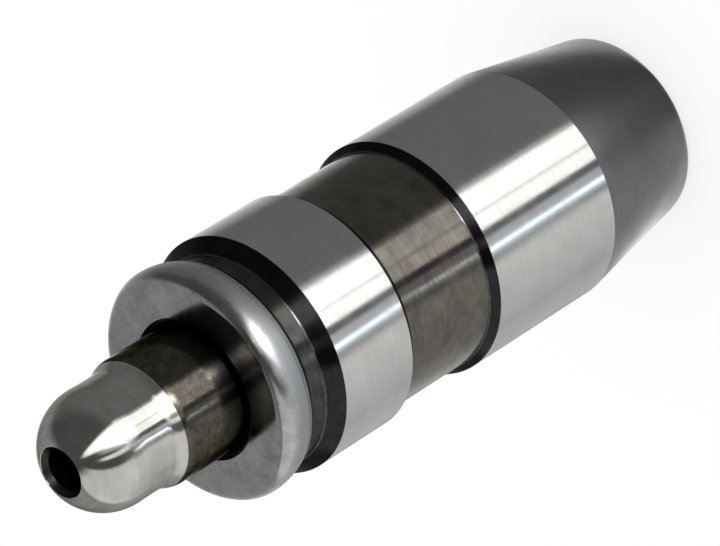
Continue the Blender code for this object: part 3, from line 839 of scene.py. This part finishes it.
def build_ball_spring(finishes):
    """Light coil between the cage's floor and the check ball, built at one length, though the real one
    shortens as the ball lifts.
    """
    mean_radius = ball_spring_high.x - BALL_SPRING_WIRE / 2
    low, high = ball_spring_low.z, ball_spring_high.z
    coil = wound_wire(
        "ball_spring_coil", mean_radius, BALL_SPRING_WIRE, BALL_SPRING_TURNS, 0.0,
        low + BALL_SPRING_WIRE / 2, high - BALL_SPRING_WIRE / 2, low, high, finishes["spring"])
    finish_piece(coil, "check_ball_spring", "plunger", WIRE_SMOOTH_DEGREES)
    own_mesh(coil)


def dress_node(node, material):
    """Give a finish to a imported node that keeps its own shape."""
    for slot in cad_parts[node].material_slots:
        slot.material = material


# Studio


def direction(azimuth, elevation):
    """Unit vector at two angles in radians, with azimuth 0 towards the side that the photograph shows."""
    return Vector((
        math.cos(elevation) * math.sin(azimuth),
        -math.cos(elevation) * math.cos(azimuth),
        math.sin(elevation),
    ))


def emission_material():
    """Light whose brightness comes from the surface's own colour attribute."""
    material = bpy.data.materials.new("card_glow")
    material.use_nodes = True
    tree = material.node_tree
    tree.nodes.clear()
    output = tree.nodes.new("ShaderNodeOutputMaterial")
    emission = tree.nodes.new("ShaderNodeEmission")
    colour = tree.nodes.new("ShaderNodeAttribute")
    colour.attribute_name = "glow"
    tree.links.new(colour.outputs["Color"], emission.inputs["Color"])
    tree.links.new(emission.outputs["Emission"], output.inputs["Surface"])
    return material


def glow_surface(name, columns, material):
    """Surface that only reflections see, from columns of (point in mm, colour)."""
    vertices = [point * MM for column in columns for point, colour in column]
    rows = len(columns[0])
    faces = []
    for column in range(len(columns) - 1):
        for row in range(rows - 1):
            corner = column * rows + row
            faces.append((corner, corner + rows, corner + rows + 1, corner + 1))
    mesh = bpy.data.meshes.new(name)
    mesh.from_pydata(vertices, [], faces)
    attribute = mesh.color_attributes.new("glow", "FLOAT_COLOR", "POINT")
    colours = [colour for column in columns for point, colour in column]
    for index, colour in enumerate(colours):
        attribute.data[index].color = (*colour, 1.0)
    mesh.materials.append(material)
    surface = add_object(name, mesh)
    surface.visible_camera = False
    surface.visible_diffuse = False
    surface.visible_shadow = False


def soft_edge(distance, margin):
    """1 well inside a panel, 0 outside it, with a smooth step across its margin."""
    part = min(1.0, max(0.0, distance / margin + 0.5))
    return part * part * (3 - 2 * part)


def far_share(reach):
    """Share of the room's glow in a card: 0 up to the near reach, growing to 1 at the far one."""
    if reach <= CARD_NEAR_REACH:
        return 0.0
    return min(1.0, math.log(reach / CARD_NEAR_REACH) / math.log(CARD_FAR_REACH / CARD_NEAR_REACH))


def glow_round_foot(degrees):
    """Glow close to the body's foot at an angle round it."""
    front, front_edge, front_margin = FOOT_GLOW_FRONT
    right, right_edge, right_margin = FOOT_GLOW_RIGHT
    sides, sides_edge, sides_margin = FOOT_GLOW_SIDES
    glow = FOOT_GLOW + front * soft_edge(front_edge - degrees, front_margin)
    glow += right * soft_edge(-degrees - right_edge, right_margin)
    glow += sides * soft_edge(abs(degrees) - sides_edge, sides_margin)
    return glow


def room_glow(azimuth, elevation):
    """Brightness of the studio's walls and ceiling at two angles in degrees."""
    near_floor = soft_edge(ROOM_FLOOR_GLOW_TOP - elevation, ROOM_FLOOR_GLOW_MARGIN)
    glow = ROOM_GLOW + (ROOM_GLOW_AT_FLOOR - ROOM_GLOW) * near_floor
    for _, low_middle, low_half, top_middle, top_half, top, margin, brightness in ROOM_PANELS:
        climb = elevation / top
        middle = low_middle + (top_middle - low_middle) * climb
        half = low_half + (top_half - low_half) * climb
        off = abs((azimuth - middle + 180) % 360 - 180)
        glow += brightness * soft_edge(half - off, margin) * soft_edge(top - elevation, PANEL_TOP_MARGIN)
    return glow


def build_floor_card(name, start, end, glow_start, glow_end, material, drop=0.0):
    """Card on the floor that fans out from the body's foot."""
    steps = max(1, round(abs(end - start) / CARD_STEP_DEGREES))
    tint = CARD_TINTS.get(name, WHITE)
    lift = Vector((0.0, 0.0, CARD_LIFT - drop))
    columns = []
    for step in range(steps + 1):
        part = step / steps
        angle = math.radians(start + (end - start) * part)
        glow = glow_start + (glow_end - glow_start) * part
        foot = direction(angle, 0.0) * body_radius
        away = direction(2 * angle, 0.0)
        foot_glow = glow_round_foot(math.degrees(angle))
        far_glow = room_glow(math.degrees(2 * angle), 0.0)
        column = []
        for reach in CARD_REACHES:
            level = foot_glow if reach <= CARD_FOOT_REACH else glow + (far_glow - glow) * far_share(reach)
            column.append((foot + away * reach + lift, tuple(share * level for share in tint)))
        columns.append(column)
    glow_surface(name, columns, material)


def build_room(material):
    """Walls and ceiling as one dome over the floor's cards."""
    columns = []
    for azimuth in range(-180, 181, ROOM_AZIMUTH_STEP):
        column = []
        for elevation in range(0, 91, ROOM_ELEVATION_STEP):
            point = direction(math.radians(azimuth), math.radians(elevation))
            glow = room_glow(azimuth, elevation)
            column.append((point * STUDIO_RADIUS, (glow, glow, glow)))
        columns.append(column)
    glow_surface("studio_room", columns, material)


def build_floor():
    bpy.ops.mesh.primitive_plane_add(size=FLOOR_SIZE * MM, location=(0.0, 0.0, 0.0))
    floor = bpy.context.object
    floor.name = "floor"
    material = bpy.data.materials.new("pale_floor")
    material.use_nodes = True
    shader = material.node_tree.nodes["Principled BSDF"]
    shader.inputs["Base Color"].default_value = (FLOOR_TONE, FLOOR_TONE, FLOOR_TONE, 1.0)
    shader.inputs["Roughness"].default_value = FLOOR_ROUGHNESS
    shader.inputs["Specular IOR Level"].default_value = 0.0
    shader.inputs["Emission Color"].default_value = (*WHITE, 1.0)
    shader.inputs["Emission Strength"].default_value = FLOOR_GLOW
    floor.data.materials.append(material)


def build_world():
    world = bpy.data.worlds.new("plain_studio")
    bpy.context.scene.world = world
    world.use_nodes = True
    background = world.node_tree.nodes["Background"]
    background.inputs["Color"].default_value = (*WHITE, 1.0)
    background.inputs["Strength"].default_value = 1.0


def build_camera():
    """Camera at the photograph's viewing angle."""
    azimuth = math.radians(CAMERA_AZIMUTH_DEGREES)
    back = direction(azimuth, math.radians(CAMERA_ELEVATION_DEGREES))
    level_right = Vector((math.cos(azimuth), math.sin(azimuth), 0.0))
    level_up = back.cross(level_right)
    turn = Matrix((level_right, level_up, back)).transposed()
    camera = add_object("camera", bpy.data.cameras.new("camera"))
    roll = Matrix.Rotation(math.radians(CAMERA_ROLL_DEGREES), 3, "Z")
    place = Matrix.Translation((CAMERA_AIM + back * CAMERA_DISTANCE) * MM)
    camera.matrix_world = place @ (turn @ roll).to_4x4()
    camera.data.lens = CAMERA_LENS
    camera.data.sensor_width = CAMERA_SENSOR_WIDTH
    camera.data.sensor_fit = "HORIZONTAL"
    camera.data.clip_start = CAMERA_CLIP_START * MM
    bpy.context.scene.camera = camera


def main():
    bpy.context.scene.view_settings.view_transform = "Standard"
    finishes = make_finishes()
    build_body(finishes)
    build_cap(finishes)
    build_upper_plunger(finishes)
    dress_node("lower_plunger", finishes["guide"])
    dress_node("check_ball", finishes["ball"])
    dress_node("ball_cage", finishes["cage"])
    build_return_spring(finishes)
    build_ball_spring(finishes)
    glow = emission_material()
    for card in FLOOR_CARDS:
        build_floor_card(*card, glow)
    build_floor_card(*BACKING, glow, BACKING_DROP)
    build_room(glow)
    build_floor()
    build_world()
    build_camera()


main()
